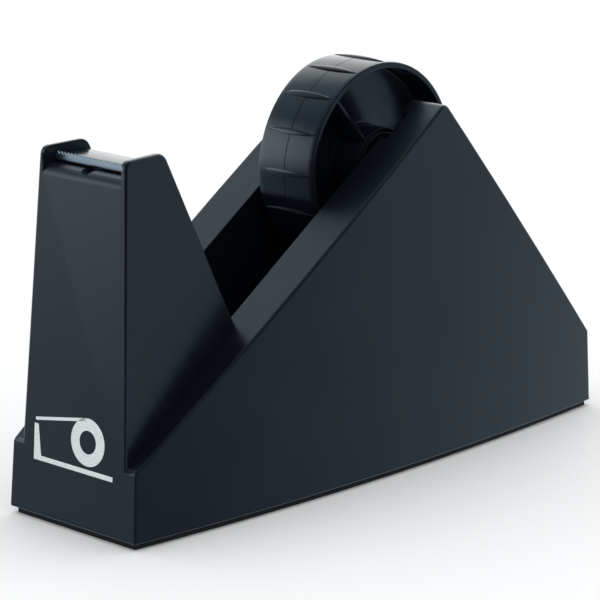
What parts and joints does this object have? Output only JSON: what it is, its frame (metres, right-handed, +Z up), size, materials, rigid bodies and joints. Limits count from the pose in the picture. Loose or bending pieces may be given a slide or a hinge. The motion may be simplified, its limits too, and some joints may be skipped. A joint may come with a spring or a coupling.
{
  "type": "tape dispenser",
  "caption": "Weighted desk tape dispenser: wedge-shaped moulded housing with a front cutter post, a serrated steel cutter and a lift-out ribbed hub in an open tape well.",
  "frame": {"origin": "on the table under the middle of the dispenser's length and width", "axes": "+X along the length, from the cutter post towards the rear; +Y to the left seen from behind the cutter, along the hub axis; +Z up"},
  "size_m": [0.2416, 0.0746, 0.1446],
  "materials": {
    "housing_plastic": "black moulded polystyrene, satin with a fine sheen",
    "hub_plastic": "black moulded plastic, a little glossier than the housing",
    "pad_rubber": "black foam rubber, matt",
    "bright_steel": "nickel-plated spring steel, fine brushed",
    "zinc_steel": "zinc-plated steel",
    "ballast_iron": "raw cast iron",
    "washer_fibre": "black fibre, matt"
  },
  "bodies": {
    "base": {"housing": "housing_plastic", "base_plate": "housing_plastic", "antislip_pad": "pad_rubber", "base_screw_1": "zinc_steel", "base_screw_2": "zinc_steel", "base_screw_3": "zinc_steel", "base_screw_4": "zinc_steel", "floor_weight": "ballast_iron", "side_weight_right": "ballast_iron", "side_weight_left": "ballast_iron", "cutter_carrier": "housing_plastic", "cutter_blade": "bright_steel", "carrier_screw_1": "zinc_steel", "carrier_screw_2": "zinc_steel"},
    "axle": {"hub_axle": "zinc_steel", "drag_washer_right": "washer_fibre", "drag_washer_left": "washer_fibre", "axle_block_right": "hub_plastic", "axle_block_left": "hub_plastic"},
    "hub": {"core_ring": "hub_plastic", "small_hub": "hub_plastic"}
  },
  "joints": [
    {"name": "hub_lift", "type": "slide", "parent": "base", "child": "axle", "axis": [0, 0, 1], "range_m": [0, 0.08]},
    {"name": "hub_spin", "type": "hinge", "parent": "axle", "child": "hub", "pos_m": [0.01985, 0, 0.1064], "axis": [0, 1, 0], "continuous": true}
  ]
}
